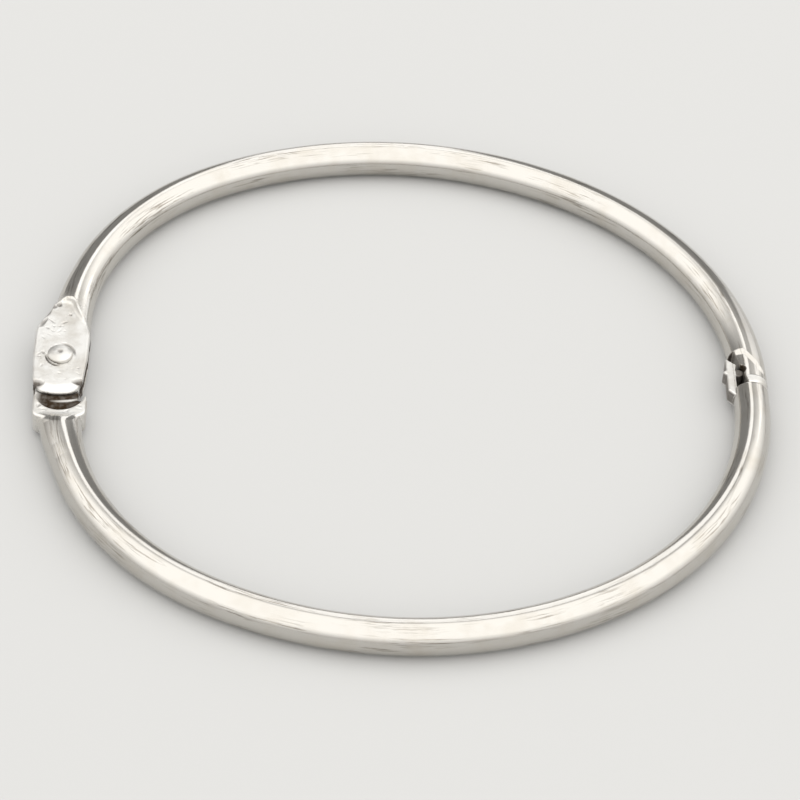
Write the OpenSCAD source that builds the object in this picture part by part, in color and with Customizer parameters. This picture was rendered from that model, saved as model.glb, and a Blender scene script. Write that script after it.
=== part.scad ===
// Hinged binder ring: two bent wire halves joined by a riveted fork hinge and a snap clasp.
// The ring lies in the XY plane with +Z up and its origin at the middle of the page loop.
// The hinge is on the -X side, the clasp on the +X side, the fork half on the +Y side.

/* [Ring] */
// Overall width over the wire, from the hinge side to the clasp side
ring_w = 100; // [84:1:120]
// Diameter of the round wire
wire_d = 5; // [4.4:0.1:5.6]
// Bend radius of the wire's centreline round the crown of each half
crown_r = 52.2; // [44:0.2:62]
// Straight wire between the clasp joint and the first bend
clasp_straight = 2.4; // [1.5:0.1:4]
// Straight wire between the rivet's level and the first bend
hinge_straight = 9; // [7:0.1:11]

/* [Hinge leaf] */
// Width of the pressed leaf across the rivet
leaf_w = 7.5; // [6.6:0.1:8.4]
// Thickness over both ears of the leaf
leaf_t = 3.3; // [2.8:0.1:3.8]
// How far the leaf's middle lies outside the wire's centreline
leaf_shift = 1.2; // [0.6:0.1:1.4]
// Length past the rivet over which the leaf keeps its full width
leaf_body = 4.6; // [3:0.1:6]
// Reach of the leaf past the rivet, up the wire
leaf_reach = 11.4; // [9:0.1:13]
// Width of the leaf at its tip, which is sunk in the wire
leaf_tip_w = 2.7; // [2.4:0.1:3.2]
// How far the leaf's tip leans outwards
leaf_lean = 0.4; // [0:0.1:0.6]
// Radius of the corners at the leaf's tip
leaf_round = 1; // [0.4:0.1:1.2]
// Reach of the ears past the rivet, to their round ends
ear_reach = 7.1; // [6:0.1:8]
// Width of the ears at their ends
ear_end_w = 6.6; // [5.6:0.1:7.2]
// Length of the bevel on the ears' ends
bevel_run = 1.4; // [0.6:0.1:2]
// Depth of the bevel on the ears' ends
bevel_drop = 0.75; // [0.3:0.05:0.9]
// Room between the tongue's round end and the bottom of the slot
slot_room = 0.6; // [0.3:0.1:1]
// Width of the slot between the ears
slot_t = 1.2; // [1:0.05:1.5]

/* [Hinge tongue] */
// Width of the flat tongue in the slot
tongue_w = 6; // [5:0.1:6.2]
// Gap between each face of the tongue and its ear
tongue_gap = 0.08; // [0.05:0.01:0.15]
// Gap between the ears' ends and the horns of the pad
ear_room = 0.9; // [0.5:0.1:1.5]
// Length of the pressed pad, from its horns to the round wire
pad_len = 4; // [3:0.1:5]
// Width of the pressed pad
pad_w = 7.2; // [6.6:0.1:7.6]
// Length over which the round wire is pressed down to the pad
pad_ramp = 1.2; // [0.6:0.1:2]
// Radius of the round recess in the pad, which shows the tongue
recess_r = 3.3; // [2.6:0.1:3.4]
// Gap between the ears' ends and the middle of the recess
recess_room = 0.6; // [0.2:0.1:1.2]
// Length over which the pad's spread runs out along the wire, on the ring's inner side
spread_near = 1.6; // [1:0.1:3]
// Length over which the pad's spread runs out along the wire, on the ring's outer side
spread_far = 6; // [4:0.1:7]
// Thickness of the pad's spread where it runs out
spread_t = 1.8; // [1.2:0.1:2.4]

/* [Rivet] */
// Diameter of the rivet's shank and of its holes in the ears
rivet_d = 2.6; // [2:0.1:3]
// Diameter of the domed rivet heads
head_d = 3.5; // [3.2:0.1:4.6]
// Height of each domed head above its ear
head_h = 0.8; // [0.35:0.05:0.8]
// Radial running clearance between the shank and the tongue's hole
rivet_gap = 0.06; // [0.03:0.01:0.1]

/* [Clasp] */
// Gap between the two wire ends when the ring is shut
joint_gap = 0.2; // [0.1:0.05:0.4]
// Length of the notch past the catch's tip, on the inner side of the fork half's end
notch_room = 1.2; // [0.4:0.1:2]
// Distance from the centreline to the notch's wall, at the joint
wall_near = 0.45; // [0.2:0.05:0.6]
// Distance from the centreline to the notch's wall, at the notch's far end
wall_far = 2.1; // [1.6:0.05:2.2]
// Length of the catch past the joint
catch_len = 5.9; // [5.4:0.1:6.3]
// Length of the catch's slanting tip
catch_slant = 1.2; // [0.8:0.1:1.6]
// Depth of the catch's root in the tongue half's end
catch_root = 1.5; // [1:0.1:2]
// How far the catch's foot stands out along the wire, below the joint
catch_foot = 0.6; // [0.2:0.1:1]
// Width of the catch, in the ring's plane
catch_w = 1.25; // [1:0.05:1.5]
// Thickness of the pressed catch
catch_t = 2.3; // [1.6:0.1:2.8]
// How far the catch stands inside the wire's inner side
catch_proud = 0.7; // [0.3:0.05:0.9]
// Distance from the joint to the barb's point
barb_at = 3.1; // [2.6:0.1:3.6]
// Height of the barb on the catch's inner side
barb_h = 0.5; // [0.3:0.05:0.6]
// Clearance between the catch and the notch
catch_gap = 0.15; // [0.1:0.01:0.2]
// Distance from the joint to the snap tooth and its pocket
tooth_at = 3; // [2.6:0.1:3.4]
// Radius of the snap tooth
tooth_r = 0.7; // [0.6:0.05:1]
// How far the tooth reaches past the notch's wall
tooth_bite = 0.3; // [0.2:0.05:0.35]
// How much the neck beside the notch is pressed below the wire, on top and below
neck_drop = 0.33; // [0.2:0.01:0.4]
// Distance from the joint to the end of the pressed neck, on the ring's outer side
neck_near = 3.1; // [2.6:0.1:3.6]
// Distance from the notch to the end of the pressed neck, on the ring's inner side
neck_run = 0.4; // [0:0.1:1.5]
// Chamfer on the fork half's end
end_chamfer = 0.5; // [0.2:0.05:0.7]
// Chamfer on the tongue half's end
end_break = 0.2; // [0.1:0.05:0.4]

/* [Hidden] */
$fn = 96;

nickel = [0.84, 0.83, 0.80];
bright_nickel = [0.92, 0.91, 0.88];

// Each half is bent in three steps of this angle: clasp side, crown, hinge side
bend_step = 60;
// How far cutting tools run past the faces they cut
over = 1;
// Steps in the outline of the leaf's tip
tip_steps = 24;

// Wire path: the clasp-side and hinge-side bends take up what the crown and straights leave
path_w = ring_w - wire_d;
side_r = path_w - crown_r;
side_split = (hinge_straight - clasp_straight) / (2 * sin(bend_step));
clasp_r = side_r + side_split;
hinge_r = side_r - side_split;
clasp_x = path_w / 2;
hinge_x = -path_w / 2;
clasp_bend_at = [clasp_x - clasp_r, clasp_straight];
hinge_bend_at = [hinge_x + hinge_r, hinge_straight];
crown_at = clasp_bend_at - (crown_r - clasp_r) * [cos(bend_step), sin(bend_step)];

// Hinge
rivet_x = hinge_x - leaf_shift;
tongue_t = slot_t - 2 * tongue_gap;
slot_depth = tongue_w / 2 + slot_room;
pad_from = ear_reach + ear_room;
pad_to = pad_from + pad_len;
pad_x = rivet_x + leaf_shift / 2;
dome_r = (head_d * head_d / 4 + head_h * head_h) / (2 * head_h);

// Clasp
catch_inner = wire_d / 2 + catch_proud;
notch_len = catch_len + notch_room;
neck_far = notch_len + neck_run;
neck_turn = atan((neck_far - neck_near) / wire_d);

// Distance of the notch's wall inside the centreline, at y past the joint
function wall(y) = wall_near + (wall_far - wall_near) * y / notch_len;

// Middle of the snap tooth and of its pocket
tooth_x = tooth_bite - tooth_r - wall(tooth_at);

// Share of the way from the leaf's body to its tip, at y past the rivet
function tip_share(y) = (y - leaf_body) / (leaf_reach - leaf_body);

// How much the leaf's rounded corners take off its half width at y past the rivet
function tip_loss(y) = leaf_round - sqrt(leaf_round ^ 2 - max(0, y - leaf_reach + leaf_round) ^ 2);

// Half width of the leaf between its body and its tip
function leaf_half(y) = leaf_w / 2 - (leaf_w - leaf_tip_w) * (1 - cos(180 * tip_share(y))) / 4 - tip_loss(y);

// Moves in two steps, whole thousandths first, so that neighbouring bends meet to the last digit
module place(at) {
    thousandths = [for (c = at) round(1000 * c) / 1000];
    translate(thousandths)
        translate(at - thousandths)
            children();
}

// Wire bent round a point in the ring's plane, from one direction to another
module bend(centre, r, from, to) {
    place(centre)
        rotate_extrude(start = from, angle = to - from)
            place([r, 0])
                circle(d = wire_d);
}

// Straight wire along +Y with a chamfered start
module straight(x, from, to, chamfer) {
    translate([x, from, 0])
        rotate([-90, 0, 0]) {
            cylinder(h = chamfer, d1 = wire_d - 2 * chamfer, d2 = wire_d);
            translate([0, 0, chamfer])
                cylinder(h = to - from - chamfer, d = wire_d);
        }
}

// One bent half on the +Y side, from the clasp joint to the level of the rivet
module half_wire(chamfer) {
    straight(clasp_x, joint_gap / 2, clasp_straight, chamfer);
    bend(clasp_bend_at, clasp_r, 0, bend_step);
    bend(crown_at, crown_r, bend_step, 180 - bend_step);
    bend(hinge_bend_at, hinge_r, 180 - bend_step, 180);
    translate([hinge_x, 0, 0])
        rotate([-90, 0, 0])
            cylinder(h = hinge_straight, d = wire_d);
}

// Outline of the leaf: ears with round ends on one side of the rivet, a tapering tip on the other
module leaf_outline() {
    rise = [for (i = [0 : tip_steps]) leaf_body + (leaf_reach - leaf_body) * i / tip_steps];
    inner = [for (y = rise) [leaf_half(y) - leaf_lean * tip_share(y), y]];
    outer = [for (i = [tip_steps : -1 : 0]) [inner[i][0] - 2 * leaf_half(rise[i]), rise[i]]];
    polygon(concat([[leaf_w / 2, 0]], inner, outer, [[-leaf_w / 2, 0]]));
    intersection() {
        circle(r = ear_reach);
        polygon([
            [-leaf_w / 2, 0], [-ear_end_w / 2, -ear_reach],
            [ear_end_w / 2, -ear_reach], [leaf_w / 2, 0]
        ]);
    }
}

// Die that presses the leaf into the wire, from above
module leaf_die() {
    translate([rivet_x, 0, leaf_t / 2])
        linear_extrude(height = wire_d)
            leaf_outline();
    translate([hinge_x - wire_d, -over, leaf_t / 2])
        cube([2 * wire_d, leaf_body + over, wire_d]);
}

// Bevel on the end of the upper ear
module ear_bevel() {
    translate([rivet_x, 0, leaf_t / 2])
        rotate_extrude(start = 180, angle = 180)
            polygon([
                [ear_reach - bevel_run, 0], [ear_reach + bevel_run, -2 * bevel_drop],
                [ear_reach + bevel_run, over], [ear_reach - bevel_run, over]
            ]);
}

// Half ring with the forked hinge leaf and the notched clasp end
module fork_half_ring() {
    color(nickel)
        difference() {
            union() {
                difference() {
                    half_wire(end_chamfer);
                    leaf_die();
                    mirror([0, 0, 1]) leaf_die();
                }
                translate([rivet_x, 0, -leaf_t / 2])
                    linear_extrude(height = leaf_t)
                        leaf_outline();
            }
            ear_bevel();
            mirror([0, 0, 1]) ear_bevel();
            hinge_slot();
            translate([rivet_x, 0, 0])
                cylinder(h = 2 * wire_d, d = rivet_d, center = true);
            clasp_notch();
            neck_press();
            mirror([0, 0, 1]) neck_press();
        }
}

// Slot between the ears, open at the sides so that the tongue can swing out
module hinge_slot() {
    translate([rivet_x - leaf_w, -ear_reach - over, -slot_t / 2])
        cube([2 * leaf_w, ear_reach + over + slot_depth, slot_t]);
}

// Notch on the inner side of the clasp end, with the snap tooth's pocket in its wall
module clasp_notch() {
    translate([clasp_x, 0, -wire_d])
        linear_extrude(height = 2 * wire_d)
            polygon([
                [-wall(-over), -over], [-wall(notch_len), notch_len],
                [-wire_d, notch_len], [-wire_d, -over]
            ]);
    translate([clasp_x + tooth_x, tooth_at, 0])
        cylinder(h = 2 * wire_d, r = tooth_r + catch_gap, center = true);
}

// Die that presses the neck's top a little below the wire, along a slanting ramp
module neck_press() {
    translate([clasp_x, (neck_near + neck_far) / 2, wire_d / 2 - neck_drop])
        rotate([0, 0, -neck_turn])
            rotate([90, 0, 90])
                linear_extrude(height = 3 * wire_d, center = true)
                    polygon([[-3 * wire_d, 0], [0, 0], [2 * over, 2 * over], [-3 * wire_d, 2 * over]]);
}

// Half ring with the flat hinge tongue and the clasp's catch
module tongue_half_ring() {
    color(nickel) {
        difference() {
            mirror([0, 1, 0]) half_wire(end_break);
            translate([hinge_x - wire_d, -pad_to, -wire_d])
                cube([2 * wire_d, pad_to + over, 2 * wire_d]);
            pad_die();
            mirror([0, 0, 1]) pad_die();
        }
        hinge_pad();
        hinge_tongue();
        clasp_catch();
    }
}

// Die that presses the round wire down to the pad, along a ramp
module pad_die() {
    rise = (wire_d - leaf_t) / 2;
    translate([hinge_x, -pad_to, leaf_t / 2])
        rotate([90, 0, 90])
            linear_extrude(height = 2 * wire_d, center = true)
                polygon([[over, 0], [0, 0], [-2 * pad_ramp, 2 * rise], [over, 2 * rise]]);
}

// Outline of the pressed pad, up to the end of the round wire
module pad_outline(to) {
    translate([-pad_w / 2, -to])
        square([pad_w, to - pad_from]);
}

// Pressed pad with its recess, and the spread that runs out along the wire
module hinge_pad() {
    translate([pad_x, 0, -leaf_t / 2])
        linear_extrude(height = leaf_t)
            difference() {
                pad_outline(pad_to);
                translate([0, -ear_reach - recess_room])
                    circle(r = recess_r);
            }
    translate([pad_x, 0, -tongue_t / 2])
        linear_extrude(height = tongue_t)
            pad_outline(pad_to - pad_len / 2);
    translate([pad_x, 0, -spread_t / 2])
        linear_extrude(height = spread_t)
            polygon([
                [-pad_w / 2, -pad_to + over], [pad_w / 2, -pad_to + over], [pad_w / 2, -pad_to],
                [wire_d / 2, -pad_to - spread_near], [-leaf_shift / 2, -pad_to - spread_far],
                [-pad_w / 2, -pad_to]
            ]);
}

// Thin tongue that turns on the rivet between the ears
module hinge_tongue() {
    translate([rivet_x, 0, 0])
        difference() {
            union() {
                cylinder(h = tongue_t, d = tongue_w, center = true);
                translate([-tongue_w / 2, -pad_from, -tongue_t / 2])
                    cube([tongue_w, pad_from, tongue_t]);
            }
            cylinder(h = wire_d, r = rivet_d / 2 + rivet_gap, center = true);
        }
}

// Pressed catch with its barb and snap tooth, which lies in the fork half's notch
module clasp_catch() {
    translate([clasp_x, 0, -catch_t / 2])
        linear_extrude(height = catch_t)
            union() {
                polygon([
                    [-catch_inner + catch_w, -catch_root],
                    [-catch_inner + catch_w, catch_len - 2 * catch_slant],
                    [-wall(catch_len - catch_slant) - catch_gap, catch_len - catch_slant],
                    [-catch_inner, catch_len],
                    [-catch_inner, barb_at + barb_h],
                    [-catch_inner - barb_h, barb_at],
                    [-catch_inner, barb_at - barb_h],
                    [-catch_inner, -catch_foot],
                    [-wire_d / 2 + catch_gap, -catch_root]
                ]);
                translate([tooth_x, tooth_at])
                    circle(r = tooth_r);
                translate([-catch_inner + catch_w / 2, tooth_at - tooth_r / 2])
                    square([catch_inner - catch_w / 2 + tooth_x, tooth_r]);
            }
}

// Rivet with a domed head on each ear
module hinge_rivet() {
    color(bright_nickel)
        translate([rivet_x, 0, 0]) {
            cylinder(h = leaf_t, d = rivet_d, center = true);
            rivet_head();
            mirror([0, 0, 1]) rivet_head();
        }
}

// Spherical cap that sits on the ear's outer face
module rivet_head() {
    intersection() {
        translate([0, 0, leaf_t / 2 + head_h - dome_r])
            sphere(r = dome_r);
        translate([0, 0, leaf_t / 2])
            cylinder(h = wire_d, d = head_d);
    }
}

fork_half_ring();
tongue_half_ring();
hinge_rivet();
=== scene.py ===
"""Looks of a hinged binder ring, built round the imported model.

Each half of the ring is made as the real one is: a straight wire blank gets its ends pressed and cut,
and is then bent along the ring's path. The blank is the skin of a distance field, so its pressed edges
are rounded and it is one closed surface from end to end. A node tree does the bending.
"""

import logging
import math
from collections.abc import Callable, Sequence
from dataclasses import dataclass
from enum import Enum
from typing import Protocol

import bpy
import numpy as np
from mathutils import Matrix, Vector


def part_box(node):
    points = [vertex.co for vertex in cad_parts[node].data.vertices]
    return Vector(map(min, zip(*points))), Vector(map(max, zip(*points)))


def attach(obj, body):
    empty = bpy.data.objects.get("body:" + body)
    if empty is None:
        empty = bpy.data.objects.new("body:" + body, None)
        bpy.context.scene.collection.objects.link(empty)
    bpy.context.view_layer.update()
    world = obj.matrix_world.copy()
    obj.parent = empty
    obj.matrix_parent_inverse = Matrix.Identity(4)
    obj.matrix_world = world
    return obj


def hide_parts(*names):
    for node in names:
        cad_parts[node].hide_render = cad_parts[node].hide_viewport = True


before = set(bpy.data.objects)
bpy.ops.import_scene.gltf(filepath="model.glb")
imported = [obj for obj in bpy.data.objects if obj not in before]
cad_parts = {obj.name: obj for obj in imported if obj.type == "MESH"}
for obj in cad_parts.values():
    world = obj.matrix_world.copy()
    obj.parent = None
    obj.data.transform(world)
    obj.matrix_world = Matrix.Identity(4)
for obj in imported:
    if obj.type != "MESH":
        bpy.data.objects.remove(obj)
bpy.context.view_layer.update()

log = logging.getLogger("binder_ring")

Array = np.ndarray
Field = Callable[[Array], Array]
Points = tuple[tuple[float, float], ...]
Triple = tuple[float, float, float]
Socket = bpy.types.NodeSocket

MM = 0.001
SKIN = 0.12 * MM  # how far off a surface a place still counts as on it
NEAR = 0.1 * MM  # the same for the borders of a patch of painted shade
WIRE_MAP, PRESSED, PAINTED_SHADE = "wire_map", "pressed", "grime"  # what each mesh carries for its finish, painted shade included


class Half(Enum):
    """The two halves of the ring, with the side of the hinge and clasp line that each lies on."""

    FORK = 1.0
    TONGUE = -1.0


class Maths(Enum):
    """What a node of arithmetic works on."""

    NUMBERS = "ShaderNodeMath"
    VECTORS = "ShaderNodeVectorMath"


# ---------------------------------------------------------------- distance fields


def share(values: Array) -> Array:
    """Keeps values between 0 and 1."""
    return np.clip(values, 0.0, 1.0)


def smooth_max(a: Array, b: Array, blend: float) -> Array:
    """Intersects two fields with a rounded edge.

    Args:
        a: The first field's values.
        b: The second field's values.
        blend: Width over which the edge is rounded.

    Returns:
        The values of the field that both share.
    """
    near = np.maximum(blend - np.abs(a - b), 0.0)
    return np.maximum(a, b) + near * near / (4 * blend)


def smooth_min(a: Array, b: Array, blend: float) -> Array:
    """Joins two fields with a fillet as wide as the blend."""
    return -smooth_max(-a, -b, blend)


def read_off(points: Points, places: Array) -> Array:
    """Reads a size off a line of points in millimetres, at places in metres."""
    return np.interp(places / MM, *zip(*points)) * MM


def outline_field(x: Array, y: Array, outline: Sequence[tuple[float, float]]) -> Array:
    """Measures the distance to a closed outline, negative inside it.

    Args:
        x: First coordinates.
        y: Second coordinates.
        outline: The outline's corners in order.

    Returns:
        The signed distance of each point.
    """
    nearest = np.full(x.shape, np.inf)
    inside = np.zeros(x.shape, bool)
    for (ax, ay), (bx, by) in zip(outline, list(outline[1:]) + [outline[0]]):
        ex, ey = bx - ax, by - ay
        along = share(((x - ax) * ex + (y - ay) * ey) / (ex * ex + ey * ey))
        nearest = np.minimum(nearest, (x - ax - along * ex) ** 2 + (y - ay - along * ey) ** 2)
        if ay != by:
            inside ^= ((ay > y) != (by > y)) & (x < ex * (y - ay) / ey + ax)
    return np.where(inside, -1.0, 1.0) * np.sqrt(nearest)


def broken_arc(ahead: Array, aside: Array, even: float = 0.25, uneven: float = 2.2) -> Array:
    """Finds how much of a circle round the rivet shows at each place, which is two opposite arcs of it.

    Args:
        ahead: Places up the leaf from the circle's middle.
        aside: Places across from it.
        even: Share that shows all round.
        uneven: What the arcs have above that and the gaps below it.

    Returns:
        The share that shows.
    """
    return share(even - uneven * ahead * aside / np.maximum(ahead**2 + aside**2, 1e-12))


def gradient(shape: Field, points: Array, reach: float = 2e-6) -> Array:
    """Finds a field's slope by central differences.

    Args:
        shape: The field.
        points: Where to measure, one row each.
        reach: Half the distance between the two samples along each axis.

    Returns:
        The slope at each point.
    """
    slope = np.empty_like(points)
    for axis in range(3):
        step = np.zeros(3)
        step[axis] = reach
        slope[:, axis] = (shape(points + step) - shape(points - step)) / (2 * reach)
    return slope


@dataclass(frozen=True)
class Skin:
    """A closed surface drawn where a field is zero.

    Attributes:
        points: Corner positions, one row each.
        quads: Four corner numbers for each face, turned outwards.
        normals: Outward directions at the corners.
    """

    points: Array
    quads: Array
    normals: Array

    @classmethod
    def wrap(cls, shape: Field, ticks: Sequence[Array], passes: int = 4) -> "Skin":
        """Wraps a field in quads by surface nets, and settles the corners on its zero level.

        Args:
            shape: The field to wrap.
            ticks: Grid positions along each of the three axes, which may be unevenly spaced.
            passes: How many times the corners are moved along the slope.

        Returns:
            The skin.
        """
        grid = np.stack(np.meshgrid(*ticks, indexing="ij"), axis=-1)
        value = shape(grid.reshape(-1, 3)).reshape(grid.shape[:3])
        cells = tuple(n - 1 for n in value.shape)
        total, count = np.zeros(cells + (3,)), np.zeros(cells, int)
        faces = []
        for axis in range(3):
            crossing, around, leaves = cls.crossings(grid, value, axis)
            for cell in around:
                np.add.at(total, cell, crossing)
                np.add.at(count, cell, 1)
            faces.append((around, ~leaves if axis == 1 else leaves))
        used = count > 0
        number = np.full(cells, -1)
        number[used] = np.arange(used.sum())
        points = total[used] / count[used][:, None]
        quads = []
        for around, outwards in faces:
            quad = np.stack([number[cell] for cell in around], axis=1)
            quad[~outwards] = quad[~outwards][:, ::-1]
            quads.append(quad)
        for _ in range(passes):
            slope = gradient(shape, points)
            points = points - slope * (shape(points) / np.maximum((slope**2).sum(1), 0.25))[:, None]
        slope = gradient(shape, points)
        normals = slope / np.maximum(np.linalg.norm(slope, axis=1), 1e-9)[:, None]
        return cls(points, np.concatenate(quads), normals)

    @staticmethod
    def crossings(grid: Array, value: Array, axis: int) -> tuple[Array, list[tuple[Array, ...]], Array]:
        """Finds where the surface crosses the grid's edges along one axis.

        Args:
            grid: The grid's points.
            value: The field at each of them.
            axis: The direction of the edges.

        Returns:
            The crossing points, the four cells round each edge, and whether each edge starts inside.
        """
        low, high = [slice(None)] * 3, [slice(None)] * 3
        low[axis], high[axis] = slice(None, -1), slice(1, None)
        low, high = tuple(low), tuple(high)
        where = np.argwhere((value[low] < 0) != (value[high] < 0))
        others = [other for other in range(3) if other != axis]
        last = np.array(value.shape)[others] - 1
        where = where[np.all((where[:, others] > 0) & (where[:, others] < last), axis=1)]
        start = tuple(where.T)
        part = value[low][start] / (value[low][start] - value[high][start])
        crossing = grid[low][start] + part[:, None] * (grid[high][start] - grid[low][start])
        around = []
        for back in ((0, 0), (1, 0), (1, 1), (0, 1)):
            cell = where.copy()
            cell[:, others] -= back
            around.append(tuple(cell.T))
        return crossing, around, value[low][start] < 0


# ---------------------------------------------------------------- the wire's path


@dataclass(frozen=True)
class WirePath:
    """The centreline of one bent half, from the clasp's joint to the level of the rivet.

    Attributes:
        half: Which half of the ring it is.
        wire_d: Diameter of the wire.
        clasp_x, hinge_x: Places of the centreline at the clasp and at the hinge.
        crown_r: Bend radius round the crown.
        clasp_straight, hinge_straight: Straight wire at the clasp and at the hinge.
        turn: Angle of each of the three bends.
    """

    half: Half
    wire_d: float
    clasp_x: float
    hinge_x: float
    crown_r: float = 52.2 * MM
    clasp_straight: float = 2.4 * MM
    hinge_straight: float = 9.0 * MM
    turn: float = math.radians(60)

    @property
    def radii(self) -> Triple:
        """The bend radii on the clasp side, round the crown and on the hinge side."""
        side = self.clasp_x - self.hinge_x - self.crown_r
        split = (self.hinge_straight - self.clasp_straight) / (2 * math.sin(self.turn))
        return side + split, self.crown_r, side - split

    @property
    def length(self) -> float:
        """The centreline's whole length."""
        return self.clasp_straight + self.turn * sum(self.radii) + self.hinge_straight

    def centreline(self, spacing: float = 0.25 * MM) -> Array:
        """Lists points along the centreline, a straight, three bends and a straight.

        Args:
            spacing: Rough distance between the points.

        Returns:
            The points, one row each, from the clasp to the hinge.
        """
        runs = [(self.clasp_straight, 0.0)]
        runs += [(radius * self.turn, 1 / radius) for radius in self.radii]
        runs += [(self.hinge_straight, 0.0)]
        place, heading = np.array([self.clasp_x, 0.0]), math.pi / 2
        points = [place]
        for run, bend in runs:
            steps = max(int(round(run / spacing)), 2)
            turned = bend * run / steps
            chord = run / steps * (1 if turned == 0 else math.sin(turned / 2) / (turned / 2))
            for _ in range(steps):
                middle = heading + turned / 2
                place = place + chord * np.array([math.cos(middle), math.sin(middle)])
                heading += turned
                points.append(place)
        flat = np.array(points) * (1.0, self.half.value)
        return np.column_stack([flat, np.zeros(len(flat))])

    def sag(self, along: Array) -> Array:
        """How far the bent centreline has left the clasp's straight line, at a length from the joint."""
        past = np.maximum(along - self.clasp_straight, 0.0)
        return past * past / (2 * self.radii[0])

    def frames(self, along: Array) -> tuple[Array, Array]:
        """Finds the directions that the blank's length and width take after bending.

        Args:
            along: Lengths from the clasp's joint.

        Returns:
            The directions along the wire and outwards from the ring, one row each.
        """
        heading = np.zeros(along.shape)
        start = self.clasp_straight
        for radius in self.radii:
            heading += np.clip((along - start) / radius, 0.0, self.turn)
            start += radius * self.turn
        side, level = self.half.value, np.zeros(len(along))
        ahead = np.column_stack([-np.sin(heading), side * np.cos(heading), level])
        outward = np.column_stack([np.cos(heading), side * np.sin(heading), level])
        return ahead, outward


@dataclass(frozen=True)
class Spots:
    """Places round one end of a straight blank.

    Attributes:
        past: Lengths along the wire, from the clasp's joint or from the level of the rivet.
        u: Distances outwards from the centreline.
        z: Heights.
        path: The wire's path.
    """

    past: Array
    u: Array
    z: Array
    path: WirePath

    @property
    def radius(self) -> float:
        """The wire's radius."""
        return self.path.wire_d / 2

    @property
    def from_wire(self) -> Array:
        """Distances from the round wire's surface."""
        return np.hypot(self.u, self.z) - self.radius

    @property
    def straight_u(self) -> Array:
        """Distances outwards from the clasp's straight line, which the bent wire leaves."""
        return self.u - self.path.sag(self.past)


class End(Protocol):
    """A finished end of a half's wire."""

    def press(self, at: Spots) -> Array:
        """Gives the finished end's field at places round it."""

    def grime(self, at: Spots) -> Array:
        """Gives how much painted shade the end has, from 0 to 1, at places round it."""


# ---------------------------------------------------------------- pressed ends


@dataclass(frozen=True)
class HingeSizes:
    """Sizes that the fork and the tongue share round the rivet.

    Attributes:
        shift: How far the leaf's middle lies outside the centreline.
        leaf_t: Thickness over the leaf and the pad.
        slot_t: Width of the slot between the ears.
        rivet_d: Diameter of the rivet's shank.
        tongue_w: Width of the tongue.
        ear_reach: Reach of the ears past the rivet.
        edge: Width over which pressed edges are rounded.
        fillet: Width over which pressed faces run into the wire.
    """

    shift: float = 1.2 * MM
    leaf_t: float = 3.3 * MM
    slot_t: float = 1.2 * MM
    rivet_d: float = 2.6 * MM
    tongue_w: float = 6.0 * MM
    ear_reach: float = 7.1 * MM
    edge: float = 0.3 * MM
    fillet: float = 0.5 * MM

    def swell(self, at: Spots, spread: Points) -> Array:
        """Widens the round wire outwards, where pressing has spread it.

        Args:
            at: Places round the end.
            spread: Places past the rivet and how far the wire's outer side has moved out there, in mm.

        Returns:
            The swollen wire's field.
        """
        out = read_off(spread, at.past) / 2
        return np.hypot((at.u - out) * at.radius / (at.radius + out), at.z) - at.radius


@dataclass(frozen=True)
class Pits:
    """Small dents that the press leaves in a flat face, with sizes in millimetres.

    Attributes:
        seed: Seed of their places and sizes.
        count: How many there are on each face.
        low, high: Least and greatest place, past the rivet and across from the face's middle.
        radius, depth: Least and greatest radius of the ball that leaves a dent, and depth of the dent.
        stretch, tilt: Greatest length of a dent against its width, and angle from the wire's length.
        edge: Width over which a dent's rim is rounded.
    """

    seed: int
    count: int
    low: tuple[float, float]
    high: tuple[float, float]
    radius: tuple[float, float]
    depth: tuple[float, float]
    stretch: float = 3.0
    tilt: float = 1.5
    edge: float = 0.06

    def cut(self, body: Array, past: Array, across: Array, z: Array, face: float) -> Array:
        """Takes the dents out of a body.

        Args:
            body: The body's field.
            past: Places past the rivet.
            across: Places across from the face's middle.
            z: Heights.
            face: Height of the flat face, which has its like below.

        Returns:
            The dented body's field.
        """
        rng = np.random.default_rng(self.seed)
        for side in (1.0, -1.0):
            for _ in range(self.count):
                at = rng.uniform(self.low, self.high) * MM
                radius = rng.uniform(*self.radius) * MM
                depth = rng.uniform(*self.depth) * MM
                longer = rng.uniform(1.0, self.stretch)
                turn = rng.uniform(-self.tilt, self.tilt)
                near = np.abs(past - at[0]) < radius * longer
                dp, da = past[near] - at[0], across[near] - at[1]
                length = (dp * math.cos(turn) + da * math.sin(turn)) / longer
                width = da * math.cos(turn) - dp * math.sin(turn)
                height = z[near] - side * (face + radius - depth)
                ball = np.sqrt(length**2 + width**2 + height**2) - radius
                body[near] = smooth_max(body[near], -ball, self.edge * MM)
        return body


@dataclass(frozen=True)
class Scar:
    """One long dent in the leaf's face, in millimetres.

    Attributes:
        past, across: Its middle, past the rivet and across from the leaf's middle.
        length, width, depth: Its size.
        turn: The direction of its length, in degrees from the leaf's own.
    """

    past: float
    across: float
    length: float
    width: float
    turn: float
    depth: float

    def dig(self, past: Array, across: Array) -> Array:
        """Finds how deep the dent is.

        Args:
            past: Places past the rivet.
            across: Places across from the leaf's middle.

        Returns:
            The depth at each place.
        """
        turn = math.radians(self.turn)
        dp, da = past / MM - self.past, across / MM - self.across
        ahead = (dp * math.cos(turn) + da * math.sin(turn)) / (self.length / 2)
        aside = (da * math.cos(turn) - dp * math.sin(turn)) / (self.width / 2)
        return self.depth * MM * share(1 - ahead**2 - aside**2)


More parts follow.
